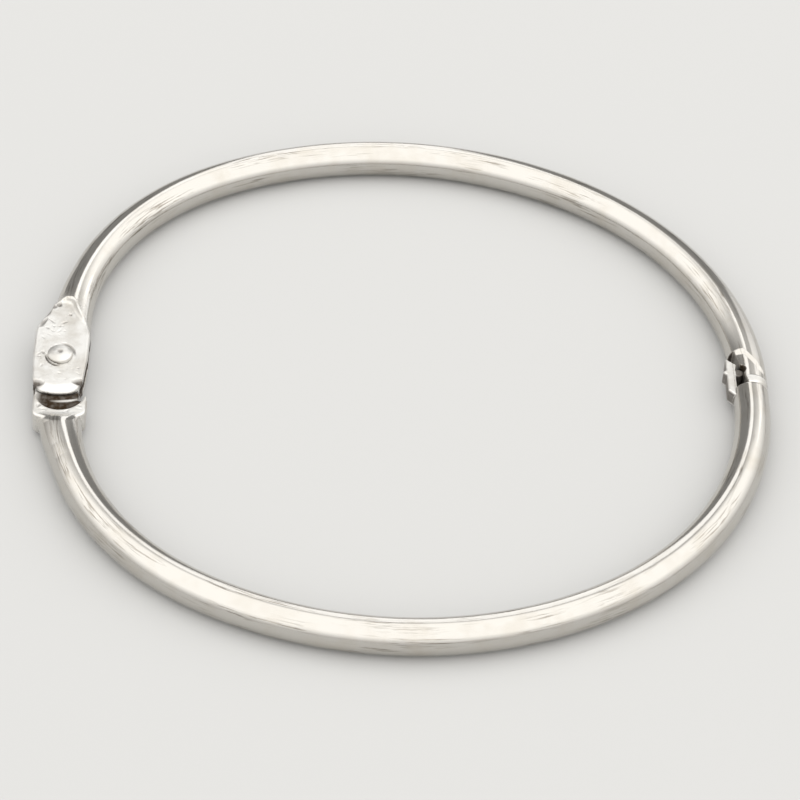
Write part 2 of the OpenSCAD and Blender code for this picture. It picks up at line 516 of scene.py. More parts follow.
@dataclass(frozen=True)
class ForkLeaf:
    """The pressed leaf with its two ears, on the fork half's hinge end.

    Attributes:
        hinge: Sizes shared with the tongue.
        width, tip_w, ear_end_w: Width across the rivet, at the tip and at the ears' ends.
        body, reach: Length past the rivet over which the leaf keeps its full width, and to its tip.
        lean: How far the tip leans outwards.
        corner, ear_corner: Rounding of the corners at the tip and at the ears' ends.
        draft: Slope of the walls that stand round the sunk tip.
        bevel_run, bevel_drop: Length and depth of the rounded bevel at the ears' ends.
        slot_room: Room between the tongue's end and the slot's bottom.
        spread: Places past the rivet and how far pressing has spread the wire outwards there, in mm.
        scars, nicks: The long dents, most of them beside the tip, and small ones all over.
        scar_edge: Width over which the scars' rims are rounded.
        worn_at: Middles of the worn spots at the ears' corners, past the rivet and across, in mm.
        worn_r, worn_lift: Radius of the ball that hollows such a spot, and its height above the face.
        worn_stretch, worn_edge: The ball's width against its length, and the rounding of the spot's rim.
        groove_r, groove_w, groove_depth: Half width of the broken oval groove round the rivet's head,
            and the groove's own width and depth.
        groove_up, groove_stretch: How far the oval lies up the leaf, and its length against its width.
        shade_paint: Strength of the painted shade in the scars and groove, of the painted dark reflection at
            the worn corners, and of the painted shade in the slot.
        scar_full: Depth at which a scar's painted shade is that strong.
        face_depth, worn_depth: Depths down to which the scars and the worn corners are painted dark.
        corner_shade_r, corner_shade_fade: Radius of the painted dark reflection at a worn corner, and the
            width over which it fades.
        slot_rim: How far the slot's painted shade reaches past its faces.
    """

    hinge: HingeSizes = HingeSizes()
    width: float = 7.5 * MM
    tip_w: float = 2.7 * MM
    body: float = 4.6 * MM
    reach: float = 11.4 * MM
    lean: float = 0.4 * MM
    corner: float = 1.0 * MM
    draft: float = 0.35
    ear_end_w: float = 6.6 * MM
    ear_corner: float = 1.6 * MM
    bevel_run: float = 1.4 * MM
    bevel_drop: float = 0.75 * MM
    slot_room: float = 0.6 * MM
    spread: Points = ((10.0, 0.35), (13.5, 0.25), (19.0, 0.0))
    scars: tuple[Scar, ...] = (
        Scar(10.3, 1.7, 1.1, 0.9, 20, 0.20),
        Scar(10.7, 1.0, 1.1, 0.9, 0, 0.22),
        Scar(8.9, 2.3, 1.7, 0.6, -22, 0.15),
        Scar(6.9, 2.85, 2.5, 0.75, -22, 0.18),
        Scar(7.2, 1.7, 1.7, 0.4, 42, 0.11),
        Scar(7.0, -0.1, 1.1, 0.38, -52, 0.10),
        Scar(5.7, 2.2, 0.8, 0.45, 25, 0.09),
        Scar(6.2, 0.5, 0.6, 0.35, -30, 0.08),
        Scar(4.4, 2.0, 1.2, 0.35, 65, 0.05),
        Scar(3.6, 2.6, 0.9, 0.3, 40, 0.05),
        Scar(6.1, 1.3, 0.5, 0.4, 0, 0.09),
        Scar(5.1, 1.4, 0.7, 0.35, 50, 0.07),
        Scar(5.2, -0.2, 0.5, 0.3, 60, 0.07),
        Scar(8.7, -0.8, 0.7, 0.5, 0, 0.12),
        Scar(0.5, 2.4, 0.9, 0.6, 30, 0.12),
        Scar(-0.3, 3.0, 1.0, 0.45, 70, 0.07),
    )
    scar_edge: float = 0.05 * MM
    nicks: Pits = Pits(2, 16, low=(-5.0, -3.0), high=(8.5, 3.2), radius=(0.12, 0.3), depth=(0.02, 0.06))
    worn_at: Points = ((-5.85, 2.9), (-5.3, -3.2))
    worn_r: float = 0.7 * MM
    worn_lift: float = 0.25 * MM
    worn_stretch: float = 1.7
    worn_edge: float = 0.15 * MM
    groove_r: float = 1.9 * MM
    groove_up: float = 0.25 * MM
    groove_stretch: float = 1.2
    groove_w: float = 0.5 * MM
    groove_depth: float = 0.18 * MM
    shade_paint: Triple = (0.6, 0.9, 0.95)
    scar_full: float = 0.16 * MM
    face_depth: float = 0.35 * MM
    worn_depth: float = 1.1 * MM
    corner_shade_r: float = 0.8 * MM
    corner_shade_fade: float = 0.5 * MM
    slot_rim: float = 0.02 * MM

    def outline(self, steps: int = 24) -> list[tuple[float, float]]:
        """Draws the leaf's edge from the rivet round the tip and back.

        Args:
            steps: Stretches along each side of the tip.

        Returns:
            Corners as distance past the rivet and distance across.
        """
        outer, inner = [(-self.width, self.width / 2)], [(-self.width, -self.width / 2)]
        for i in range(steps + 1):
            along = i / steps
            past = self.body + (self.reach - self.body) * along
            half = self.width / 2 - (self.width - self.tip_w) * (1 - math.cos(math.pi * along)) / 4
            rounded = max(0.0, past - self.reach + self.corner)
            half -= self.corner - math.sqrt(max(self.corner**2 - rounded**2, 0.0))
            outer.append((past, self.lean * along + half))
            inner.append((past, self.lean * along - half))
        return outer + inner[::-1]

    def press(self, at: Spots) -> Array:
        """Presses the leaf into the wire's end, cuts its slot and rivet hole, and wears its face.

        Args:
            at: Places round the end, past the rivet.

        Returns:
            The finished end's field.
        """
        hinge, past = self.hinge, at.past
        across = at.u - hinge.shift
        from_rivet = np.hypot(past, across)
        height = np.abs(at.z) - hinge.leaf_t / 2
        outline = outline_field(past, across, self.outline())
        leaf = self.leaf(past, across, outline, height)
        body = smooth_min(self.stem(at, outline, height), leaf, hinge.fillet)
        bent = share((from_rivet - hinge.ear_reach + self.bevel_run) / self.bevel_run) * (past < 0)
        bevel = height + self.bevel_drop * bent * bent - hinge.edge / 2 * (1 - bent) - np.maximum(past, 0.0)
        body = smooth_max(body, bevel, hinge.edge / 2)
        slot = np.maximum(np.abs(at.z) - hinge.slot_t / 2, past - hinge.tongue_w / 2 - self.slot_room)
        body = smooth_max(body, -slot, hinge.edge / 3)
        body = smooth_max(body, hinge.rivet_d / 2 - from_rivet, hinge.edge / 3)
        ball = np.hypot(self.from_worn(past, across), height - self.worn_lift)
        body = smooth_max(body, self.worn_r - ball, self.worn_edge)
        scarred = self.scarred(past, across)
        body = np.where(scarred > 0, smooth_max(body, height + scarred, self.scar_edge), body)
        return self.nicks.cut(body, past, across, at.z, hinge.leaf_t / 2)

    def stem(self, at: Spots, outline: Array, height: Array) -> Array:
        """The round wire, ended at the rivet and sunk where the leaf lies in it.

        Args:
            at: Places round the end.
            outline: Their distances from the leaf's edge.
            height: Their heights above the leaf's face.

        Returns:
            The stem's field.
        """
        hinge = self.hinge
        stem = smooth_max(hinge.swell(at, self.spread), -at.past, hinge.edge)
        sunk = smooth_min(outline, at.past - self.body, hinge.fillet) - self.draft * np.maximum(height, 0.0)
        return smooth_max(stem, -smooth_max(sunk, -height - hinge.fillet, hinge.edge), hinge.edge)

    def leaf(self, past: Array, across: Array, outline: Array, height: Array) -> Array:
        """The flat leaf and its ears, before the slot is cut.

        Args:
            past: Places past the rivet.
            across: Places across from the leaf's middle.
            outline: Their distances from the leaf's edge.
            height: Their heights above the leaf's face.

        Returns:
            The leaf's field.
        """
        hinge = self.hinge
        narrowing = (self.width - self.ear_end_w) / 2 / hinge.ear_reach
        ears = np.abs(across) - self.width / 2 - narrowing * np.minimum(past, 0.0)
        end = np.where(past < 0, np.hypot(past, across), 0.0) - hinge.ear_reach
        leaf = smooth_max(np.where(past < 0, ears, outline), end, self.ear_corner)
        return smooth_max(leaf, height, hinge.edge)

    def from_worn(self, past: Array, across: Array) -> Array:
        """Distance from the nearer worn corner, in the leaf's plane."""
        spots = [(past - up * MM, across - out * MM) for up, out in self.worn_at]
        return np.min([np.hypot(ahead, aside / self.worn_stretch) for ahead, aside in spots], axis=0)

    def scarred(self, past: Array, across: Array) -> Array:
        """Finds how deep the scars and the groove that the peened head has left round itself are.

        Args:
            past: Places past the rivet.
            across: Places across from the leaf's middle.

        Returns:
            The depth at each place.
        """
        ahead = (past - self.groove_up) / self.groove_stretch
        aside = (np.hypot(ahead, across) - self.groove_r) / (self.groove_w / 2)
        groove = self.groove_depth * broken_arc(ahead, across) * share(1 - aside**2)
        return np.max([groove] + [scar.dig(past, across) for scar in self.scars], axis=0)

    def grime(self, at: Spots) -> Array:
        """Finds the end's painted shade: in the slot, as a painted dark reflection at the worn corners, and
        in the scars and the rivet's groove.

        Args:
            at: Places round the end, past the rivet.

        Returns:
            The share at each place.
        """
        # Painted shade in the scars, the rivet's groove and the slot, and a painted dark reflection at the
        # worn corners.
        in_scars, in_corners, in_slot = self.shade_paint
        depth = self.hinge.leaf_t / 2 - np.abs(at.z)
        across = at.u - self.hinge.shift
        face = outline_field(at.past, across, self.outline()) < NEAR
        face &= (depth < self.face_depth) & (depth > -NEAR)
        scars = np.where(face, share(self.scarred(at.past, across) / self.scar_full), 0.0)
        corners = share((self.corner_shade_r - self.from_worn(at.past, across)) / self.corner_shade_fade)
        corners *= depth < self.worn_depth
        slot = (np.abs(at.z) < self.hinge.slot_t / 2 + self.slot_rim) & (at.past < self.hinge.tongue_w)
        return np.max([in_scars * scars, in_corners * corners, in_slot * slot], axis=0)


@dataclass(frozen=True)
class HingeTongue:
    """The pressed pad and the thin tongue, on the tongue half's hinge end.

    Attributes:
        hinge: Sizes shared with the fork.
        gap: Gap between each face of the tongue and its ear.
        ear_room: Gap between the ears' ends and the pad's horns.
        pad_len, pad_w: Length and width of the pad.
        pad_blend, pad_ramp: How gently the pad's sides and its faces run into the round wire.
        recess_r, recess_room: Radius of the pad's round recess, and its middle's gap from the ears' ends.
        bore: Diameter of the tongue's hole.
        spread: Places past the rivet and how far pressing has spread the wire outwards there, in mm.
        pits: The press's dents.
        streak_r: Distance from the rivet to the bright streak across the recess that the painted shade leaves
            out.
        streak: The streak's middle, half length and half width.
        streak_unshaded: Share of the painted shade that the streak leaves out.
        rim_shade, rim_fade: How dark the painted shade at the recess's rim is, and the length over which it
            grows inwards.
        shade_inset: How far inside the ears' reach the painted shade fades to nothing.
    """

    hinge: HingeSizes = HingeSizes()
    gap: float = 0.08 * MM
    ear_room: float = 0.9 * MM
    pad_len: float = 4.0 * MM
    pad_w: float = 7.2 * MM
    pad_blend: float = 1.2 * MM
    pad_ramp: float = 1.2 * MM
    recess_r: float = 3.3 * MM
    recess_room: float = 0.6 * MM
    bore: float = 2.72 * MM
    spread: Points = ((12.0, 1.1), (13.6, 0.75), (15.6, 0.5), (18.0, 0.2), (20.5, 0.0))
    pits: Pits = Pits(5, 12, low=(9.0, -3.0), high=(11.8, 3.0), radius=(0.2, 0.4), depth=(0.03, 0.1))
    streak_r: float = 8.25 * MM
    streak: Triple = (-1.5 * MM, 1.7 * MM, 0.2 * MM)
    streak_unshaded: float = 0.95
    rim_shade: float = 0.45
    rim_fade: float = 1.1 * MM
    shade_inset: float = 0.7 * MM

    @property
    def horns_at(self) -> float:
        """Distance from the rivet to the ends of the pad's horns."""
        return self.hinge.ear_reach + self.ear_room

    @property
    def pad_to(self) -> float:
        """Distance from the rivet to the pad's end on the wire's side."""
        return self.horns_at + self.pad_len

    def from_recess(self, at: Spots) -> Array:
        """Distance outside the round recess."""
        middle = self.hinge.ear_reach + self.recess_room
        return np.hypot(at.past - middle, at.u - self.hinge.shift / 2) - self.recess_r

    def press(self, at: Spots) -> Array:
        """Presses the pad and the tongue into the wire's end and cuts the hole.

        Args:
            at: Places round the end, past the rivet.

        Returns:
            The finished end's field.
        """
        hinge, past = self.hinge, at.past
        height = np.abs(at.z) - hinge.leaf_t / 2
        stem = smooth_max(hinge.swell(at, self.spread), self.pad_to - past, hinge.edge)
        slope = (at.radius - hinge.leaf_t / 2) / self.pad_ramp
        ramp = (height - slope * np.maximum(past - self.pad_to, 0.0)) / math.hypot(1.0, slope)
        stem = smooth_max(stem, ramp, 2 * hinge.edge)
        beside = np.abs(at.u - hinge.shift / 2) - self.pad_w / 2
        sides = smooth_max(beside, past - self.pad_to - hinge.edge, self.pad_blend)
        plate = smooth_max(sides, self.horns_at - past, hinge.edge)
        pad = smooth_max(smooth_max(plate, height, hinge.edge), -self.from_recess(at), hinge.edge)
        body = smooth_min(stem, pad, hinge.fillet)
        body = self.pits.cut(body, past, at.u - hinge.shift / 2, at.z, hinge.leaf_t / 2)
        across = at.u - hinge.shift
        in_pad = past - self.pad_to + self.pad_len / 2
        strap = np.maximum(np.abs(across) - hinge.tongue_w / 2, in_pad)
        tongue = np.where(past > 0, strap, np.hypot(past, across) - hinge.tongue_w / 2)
        tongue = np.minimum(tongue, np.maximum(plate, in_pad))
        tongue = smooth_max(tongue, np.abs(at.z) - hinge.slot_t / 2 + self.gap, hinge.edge / 2)
        body = smooth_min(body, tongue, hinge.edge)
        return smooth_max(body, self.bore / 2 - np.hypot(past, across), hinge.edge / 3)

    def grime(self, at: Spots) -> Array:
        """Finds the end's painted shade: in the recess under the ears' ends, but for a bright streak and
        fading out inside the ears' reach.

        Args:
            at: Places round the end, past the rivet.

        Returns:
            The share at each place.
        """
        # Painted shade in the recess where the ears' ends shade the pad, with a bright streak left out.
        hinge, from_rim = self.hinge, self.from_recess(at)
        sunk = share((hinge.leaf_t / 2 - SKIN - np.abs(at.z)) / hinge.edge)
        across = at.u - hinge.shift
        from_rivet = np.hypot(at.past, across)
        middle, length, width = self.streak
        away = np.hypot((across - middle) / length, (from_rivet - self.streak_r) / width)
        kept = 1 - self.streak_unshaded * share(1.5 - away)
        grown = share(self.rim_shade - from_rim / self.rim_fade)
        grown *= share(1.0 + (from_rivet - hinge.ear_reach) / self.shade_inset)
        return np.where((from_rim < SKIN) & (at.past < self.pad_to), grown * sunk * kept, 0.0)


@dataclass(frozen=True)
class ClaspSizes:
    """Sizes that the notch and the catch share at the joint.

    Attributes:
        joint_gap: Gap between the two wire ends.
        wall_near, wall_far: Distance from the centreline to the notch's wall, at the joint and at its end.
        catch_len: Length of the catch past the joint.
        notch_room: Length of the notch past the catch's tip.
        gap: Clearance between the catch and the notch.
        tooth_at, tooth_r: Distance from the joint to the snap tooth, and its radius.
        tooth_bite: How far the tooth reaches past the wall.
        edge: Width over which cut edges are rounded.
    """

    joint_gap: float = 0.2 * MM
    wall_near: float = 0.45 * MM
    wall_far: float = 2.1 * MM
    catch_len: float = 5.9 * MM
    notch_room: float = 1.2 * MM
    gap: float = 0.15 * MM
    tooth_at: float = 3.0 * MM
    tooth_r: float = 0.7 * MM
    tooth_bite: float = 0.3 * MM
    edge: float = 0.14 * MM

    @property
    def notch_len(self) -> float:
        """The notch's length from the joint."""
        return self.catch_len + self.notch_room

    def wall(self, y: Array | float) -> Array | float:
        """Distance of the notch's wall inside the centreline, at y past the joint."""
        return self.wall_near + (self.wall_far - self.wall_near) * y / self.notch_len

    def from_tooth(self, y: Array, u: Array) -> Array:
        """Distance outside the tooth."""
        middle = -self.wall(self.tooth_at) - self.tooth_r + self.tooth_bite
        return np.hypot(y - self.tooth_at, u - middle) - self.tooth_r

    def cut_off(self, body: Array, at: Spots, chamfer: Array | float) -> Array:
        """Cuts a wire off at the joint.

        Args:
            body: The wire's field.
            at: Places round its end.
            chamfer: Chamfer on the cut.

        Returns:
            The field with the cut end.
        """
        short = self.joint_gap / 2 - at.past
        body = smooth_max(body, short, self.edge / 2)
        return smooth_max(body, (at.from_wire + chamfer + short) / math.sqrt(2), self.edge)


@dataclass(frozen=True)
class NotchedEnd:
    """The fork half's clasp end: a notch with the tooth's pocket, a pressed neck and a chamfered end.

    Attributes:
        clasp: Sizes shared with the catch.
        chamfer, wider: Chamfer on the wire's end, and how much larger it is on the ring's outer side.
        neck_drop: Depth of the pressed neck, on top and below.
        neck_ends: Where the neck ends, as distance outwards and distance from the joint, in mm.
        neck_slope: Length of the slope up from the neck to the round wire.
        shade_paint: How dark the painted shade is in the tooth's pocket, on the notch's wall and on its far
            end.
    """

    clasp: ClaspSizes = ClaspSizes()
    chamfer: float = 0.5 * MM
    wider: float = 0.25 * MM
    neck_drop: float = 0.33 * MM
    neck_ends: Points = ((-2.5, 6.9), (-0.6, 6.45), (1.3, 3.3), (2.5, 2.2))
    neck_slope: float = 1.0 * MM
    shade_paint: Triple = (1.0, 0.65, 0.9)

    def press(self, at: Spots) -> Array:
        """Cuts the notch and presses the neck at the wire's end.

        Args:
            at: Places round the end, from the joint.

        Returns:
            The finished end's field.
        """
        clasp = self.clasp
        rise = share(0.5 + (at.past - read_off(self.neck_ends, at.u)) / self.neck_slope)
        squeezed = at.radius - self.neck_drop * (1 - rise * rise * (3 - 2 * rise))
        body = np.hypot(at.u, at.z * at.radius / squeezed) - at.radius
        body = clasp.cut_off(body, at, self.chamfer + self.wider * np.clip(at.u / at.radius, -1.0, 1.0))
        notch = smooth_max(at.straight_u + clasp.wall(at.past), at.past - clasp.notch_len, 2 * clasp.edge)
        notch = smooth_min(notch, clasp.from_tooth(at.past, at.straight_u) - clasp.gap, clasp.edge)
        return smooth_max(body, -notch, clasp.edge)

    def grime(self, at: Spots) -> Array:
        """Finds the end's painted shade: on the notch's walls and in the tooth's pocket.

        Args:
            at: Places round the end, from the joint.

        Returns:
            The share at each place.
        """
        # Painted shade on the notch's wall and far end and in the tooth's pocket.
        clasp = self.clasp
        in_pocket, on_wall, at_end = self.shade_paint
        from_wall, from_end = at.straight_u + clasp.wall(at.past), at.past - clasp.notch_len
        wall = (np.abs(from_wall) < SKIN) & (from_end < 0)
        end = (np.abs(from_end) < SKIN) & (from_wall < 0)
        pocket = clasp.from_tooth(at.past, at.straight_u) < clasp.gap + NEAR
        return np.select([pocket, wall, end], [in_pocket, on_wall, at_end], 0.0)


@dataclass(frozen=True)
class CatchEnd:
    """The tongue half's clasp end: a pressed catch with its barb and snap tooth.

    Attributes:
        clasp: Sizes shared with the notch.
        chamfer: Chamfer on the wire's end.
        width, thick: Width of the catch in the ring's plane, and its thickness.
        proud: How far the catch stands inside the wire's inner side.
        slant: Length of its slanting tip.
        root, foot: Reach of its root into the wire's end, and of its foot along the wire.
        barb_at, barb_h: Distance from the joint to the barb's point, and the barb's height.
        shade_paint: How dark the painted shade is on its sides and its tooth.
        side_top, side_fade: Depth at which the painted shade on its sides starts, and over which it grows.
        off_wire: Least distance from the wire's surface for the painted shade.
    """

    clasp: ClaspSizes = ClaspSizes()
    chamfer: float = 0.2 * MM
    width: float = 1.25 * MM
    thick: float = 2.3 * MM
    proud: float = 0.7 * MM
    slant: float = 1.2 * MM
    root: float = 1.5 * MM
    foot: float = 0.6 * MM
    barb_at: float = 3.1 * MM
    barb_h: float = 0.5 * MM
    shade_paint: tuple[float, float] = (0.75, 0.85)
    side_top: float = 0.15 * MM
    side_fade: float = 0.25 * MM
    off_wire: float = 0.04 * MM

    def outline(self, wire_r: float) -> list[tuple[float, float]]:
        """Draws the catch in its own plane.

        Args:
            wire_r: Radius of the wire.

        Returns:
            Corners as distance past the joint and distance outwards.
        """
        clasp = self.clasp
        inner = wire_r + self.proud
        slant_at = clasp.catch_len - self.slant
        return [
            (-self.root, -inner + self.width),
            (slant_at - self.slant, -inner + self.width),
            (slant_at, -clasp.wall(slant_at) - clasp.gap),
            (clasp.catch_len, -inner),
            (self.barb_at + self.barb_h, -inner),
            (self.barb_at, -inner - self.barb_h),
            (self.barb_at - self.barb_h, -inner),
            (-self.foot, -inner),
            (-self.root, -wire_r + clasp.gap),
        ]

    def press(self, at: Spots) -> Array:
        """Adds the catch to the wire's end.

        Args:
            at: Places round the end, from the joint and negative past it.

        Returns:
            The finished end's field.
        """
        clasp = self.clasp
        body = clasp.cut_off(at.from_wire, at, self.chamfer)
        catch = outline_field(-at.past, at.u, self.outline(at.radius))
        catch = smooth_min(catch, clasp.from_tooth(-at.past, at.u), clasp.edge / 2)
        catch = smooth_max(catch, np.abs(at.z) - self.thick / 2, 1.5 * clasp.edge)
        return smooth_min(body, catch, clasp.edge)

    def grime(self, at: Spots) -> Array:
        """Finds the end's painted shade: on the catch's sides and tooth, but not on the wire.

        Args:
            at: Places round the end, from the joint and negative past it.

        Returns:
            The share at each place.
        """
        # Painted shade on the catch's sides and tooth.
        on_sides, on_tooth = self.shade_paint
        low = share((self.thick / 2 - self.side_top - np.abs(at.z)) / self.side_fade)
        tooth = (self.clasp.from_tooth(-at.past, at.u) < NEAR) & (at.u > self.width - at.radius - self.proud)
        clear = (at.past < -NEAR) | (at.from_wire > self.off_wire)
        return np.where(clear, np.maximum(on_sides * low, on_tooth * tooth), 0.0)


# ---------------------------------------------------------------- node trees


class NodeMaker:
    """Adds nodes to a tree, with their values and links given by name."""

    def __init__(self, tree: bpy.types.NodeTree) -> None:
        """Remembers the tree."""
        self.tree = tree

    def __call__(self, kind: str, **inputs: object) -> bpy.types.Node:
        """Adds one node.

        Args:
            kind: The node's type.
            **inputs: A value or a source socket for each named input.

        Returns:
            The node.
        """
        node = self.tree.nodes.new(kind)
        for name, source in inputs.items():
            self.feed(node.inputs[name.replace("_", " ")], source)
        return node

    def feed(self, socket: Socket, source: object) -> None:
        """Gives an input its value.

        Args:
            socket: The input.
            source: A value, or a socket to link it to.
        """
        if isinstance(source, bpy.types.NodeSocket):
            self.tree.links.new(source, socket)
        else:
            socket.default_value = source

    def maths(self, kind: Maths, operation: str, *sources: Socket | Triple) -> bpy.types.NodeOutputs:
        """Adds a node of arithmetic.

        Args:
            kind: Whether it works on numbers or on vectors.
            operation: What it does with them.
            *sources: A value or a source socket for each input in turn.

        Returns:
            The node's outputs.
        """
        node = self(kind.value)
        node.operation = operation
        for socket, source in zip(node.inputs, sources):
            self.feed(socket, source)
        return node.outputs

    def product(self, a: Socket, b: Socket) -> Socket:
        """Multiplies two numbers and returns the product's socket."""
        return self.maths(Maths.NUMBERS, "MULTIPLY", a, b)[0]

    def attribute(self, title: str) -> Socket:
        """Reads an attribute of the mesh and returns its value's socket."""
        node = self("ShaderNodeAttribute")
        node.attribute_name = title
        return node.outputs["Fac"]

    def noise(self, place: Socket, scale: float | Triple, detail: float, roughness: float) -> Socket:
        """Adds a noise texture.

        Args:
            place: The coordinates' socket.
            scale: How many times it repeats in a metre, or the same along each axis.
            detail: How many finer layers it has.
            roughness: How strong they are.

        Returns:
            The noise's socket.
        """
        if isinstance(scale, tuple):
            place = self("ShaderNodeMapping", Vector=place, Scale=scale).outputs["Vector"]
            scale = 1.0
        return self(
            "ShaderNodeTexNoise", Vector=place, Scale=scale, Detail=detail, Roughness=roughness
        ).outputs["Fac"]

    def ramp(
        self, source: Socket, low: float, high: float, to_low: float = 0.0, to_high: float = 1.0
    ) -> Socket:
        """Maps a range of values onto another, without overshoot.

        Args:
            source: The socket to read.
            low: Value that gives to_low.
            high: Value that gives to_high.
            to_low: Lowest result.
            to_high: Highest result.

        Returns:
            The mapped value's socket.
        """
        return self(
            "ShaderNodeMapRange", Value=source, From_Min=low, From_Max=high, To_Min=to_low, To_Max=to_high
        ).outputs["Result"]

    def mix(self, factor: Socket, a: Socket | float, b: Socket | float) -> Socket:
        """Mixes two numbers by a factor and returns the result's socket."""
        return self("ShaderNodeMix", Factor=factor, A=a, B=b).outputs["Result"]

    def mix_colour(self, factor: Socket, a: Socket | Triple, b: Triple) -> Socket:
        """Mixes two colours by a factor.

        Args:
            factor: The socket that chooses between them.
            a: Colour at 0, or its socket.
            b: Colour at 1.

        Returns:
            The mixed colour's socket.
        """
        node = self("ShaderNodeMix")
        node.data_type = "RGBA"
        colours = [(*colour, 1.0) if isinstance(colour, tuple) else colour for colour in (a, b)]
        for number, source in zip((0, 6, 7), (factor, *colours)):
            self.feed(node.inputs[number], source)
        return node.outputs[2]

    def bump(self, height: Socket, depth: float, under: Socket | None = None) -> Socket:
        """Adds a bump node.

        Args:
            height: The height's socket, from 0 to 1.
            depth: What a height of 1 stands for.
            under: A normal that the bump is added to.

        Returns:
            The normal's socket.
        """
        inputs = {} if under is None else {"Normal": under}
        return self("ShaderNodeBump", Height=height, Strength=1.0, Distance=depth, **inputs).outputs["Normal"]


# ---------------------------------------------------------------- finishes


@dataclass(frozen=True)
class NickelPlate:
    """Bright nickel plate over drawn and pressed steel wire.

    Attributes:
        name: The material's name.
        colour: Reflected colour of the drawn wire, linear.
        matt: Reflected colour of pressed faces, linear, lighter than the drawn wire's: a painted highlight.
        scuffed: Colour of the thin scuffs along the wire, linear.
        stain: Colour of the thin warm tarnish, linear.
        shade_paint: Colour of the painted shade in recesses, linear.
        wire_gloss, press_gloss: Least and greatest roughness of the drawn wire and of pressed faces.
        shade_paint_gloss: Roughness where the painted shade lies.
        line_depth, wave_depth: Height of the drawing lines and of the broad waves along the wire.
        grain_depth: Height of the pressed faces' grain.
    """

    name: str
    colour: Triple = (0.575, 0.555, 0.52)
    matt: Triple = (0.765, 0.755, 0.73)
    scuffed: Triple = (0.27, 0.245, 0.21)
    stain: Triple = (0.53, 0.50, 0.45)
    shade_paint: Triple = (0.045, 0.029, 0.016)
    wire_gloss: tuple[float, float] = (0.085, 0.17)
    press_gloss: tuple[float, float] = (0.34, 0.5)
    shade_paint_gloss: float = 0.65
    line_depth: float = 0.006 * MM
    wave_depth: float = 0.048 * MM
    grain_depth: float = 0.05 * MM

    def material(self) -> bpy.types.Material:
        """Builds the node material.

        Returns:
            The material, which reads the wire's own lengthwise map and its two attributes.
        """
        made = bpy.data.materials.new(self.name)
        made.use_nodes = True
        tree = made.node_tree
        tree.nodes.clear()
        add = NodeMaker(tree)
        place = add("ShaderNodeTexCoord").outputs["Object"]
        wire_map = add("ShaderNodeUVMap")
        wire_map.uv_map = WIRE_MAP
        lengthwise = wire_map.outputs["UV"]
        pressed, grime = add.attribute(PRESSED), add.attribute(PAINTED_SHADE)

        lines = add.noise(lengthwise, (55.0, 46.0, 1.0), 5.0, 0.62)
        waves = add.noise(lengthwise, (90.0, 3.0, 1.0), 2.0, 0.5)
        dashes = add.noise(lengthwise, (230.0, 62.0, 1.0), 3.0, 0.6)
        patches = add.noise(lengthwise, (70.0, 9.0, 1.0), 2.0, 0.5)
        grain = add.noise(place, 1900.0, 5.0, 0.65)
        blotches = add.noise(place, 260.0, 3.0, 0.55)
        shade_mottle = add.noise(place, 1300.0, 4.0, 0.6)

        scuff = add.product(add.ramp(dashes, 0.5, 0.6), add.ramp(patches, 0.5, 0.62, 0.0, 0.9))
        # Painted shade from the mesh's attribute, mottled by noise, darkens the colour and sets its
        # roughness.
        shaded = add.product(grime, add.ramp(shade_mottle, 0.3, 0.6, 0.84, 1.0))
        drawn = add.mix_colour(scuff, self.colour, self.scuffed)
        # Pressed faces take a lighter colour than the drawn wire: a painted highlight.
        bare = add.mix_colour(pressed, drawn, self.matt)
        plated = add.mix_colour(add.ramp(blotches, 0.46, 0.78), bare, self.stain)
        colour = add.mix_colour(shaded, plated, self.shade_paint)

        plain = add.ramp(lines, 0.25, 0.75, *self.wire_gloss)
        matt = add.ramp(grain, 0.3, 0.7, *self.press_gloss)
        gloss = add.mix(shaded, add.mix(pressed, plain, matt), self.shade_paint_gloss)

        lined = add.bump(lines, self.line_depth)
        waved = add.bump(waves, self.wave_depth, lined)
        rough = add.bump(add.product(grain, pressed), self.grain_depth, waved)

        skin = add("ShaderNodeBsdfPrincipled", Metallic=1.0, Base_Color=colour, Roughness=gloss, Normal=rough)
        add("ShaderNodeOutputMaterial", Surface=skin.outputs["BSDF"])
        return made


@dataclass(frozen=True)
class PalePaper:
    """Matt pale paper for the floor.

    Attributes:
        name: The material's name.
        colour: Its colour, linear.
    """

    name: str = "pale_paper"
    colour: Triple = (0.515, 0.515, 0.51)

    def material(self) -> bpy.types.Material:
        """Builds the node material."""
        made = bpy.data.materials.new(self.name)
        made.use_nodes = True
        skin = made.node_tree.nodes["Principled BSDF"].inputs
        skin["Base Color"].default_value = (*self.colour, 1.0)
        skin["Roughness"].default_value = 0.9
        skin["Specular IOR Level"].default_value = 0.1
        return made


# ---------------------------------------------------------------- the pieces


def put(name: str, data: bpy.types.ID) -> bpy.types.Object:
    """Adds an object to the scene.

    Args:
        name: Its name.
        data: What it shows.

    Returns:
        The object.
    """
    made = bpy.data.objects.new(name, data)
    bpy.context.scene.collection.objects.link(made)
    return made


def write_shares(mesh: bpy.types.Mesh, pressed: Array, grime: Array) -> None:
    """Writes onto a mesh how far it is pressed and how much painted shade it has.

    Args:
        mesh: The mesh.
        pressed: The pressed share at each corner.
        grime: The painted shade's share at each corner.
    """
    for title, values in ((PRESSED, pressed), (PAINTED_SHADE, grime)):
        mesh.attributes.new(title, "FLOAT", "POINT").data.foreach_set("value", values.astype(np.float32))


def write_map(mesh: bpy.types.Mesh, spots: Array, turns: bool = False) -> None:
    """Writes the lengthwise map onto a mesh.

    Args:
        mesh: The mesh.
        spots: The map's two coordinates at each corner.
        turns: Whether the second is a turn of a closed round, which each four-cornered face must not cross.
    """
    corner = np.empty(len(mesh.loops), int)
    mesh.loops.foreach_get("vertex_index", corner)
    spot = spots[corner]
    if turns:
        first = np.repeat(spot[::4, 1], 4)
        spot[:, 1] += np.round(first - spot[:, 1])
    mesh.uv_layers.new(name=WIRE_MAP).uv.foreach_set("vector", spot.astype(np.float32).ravel())


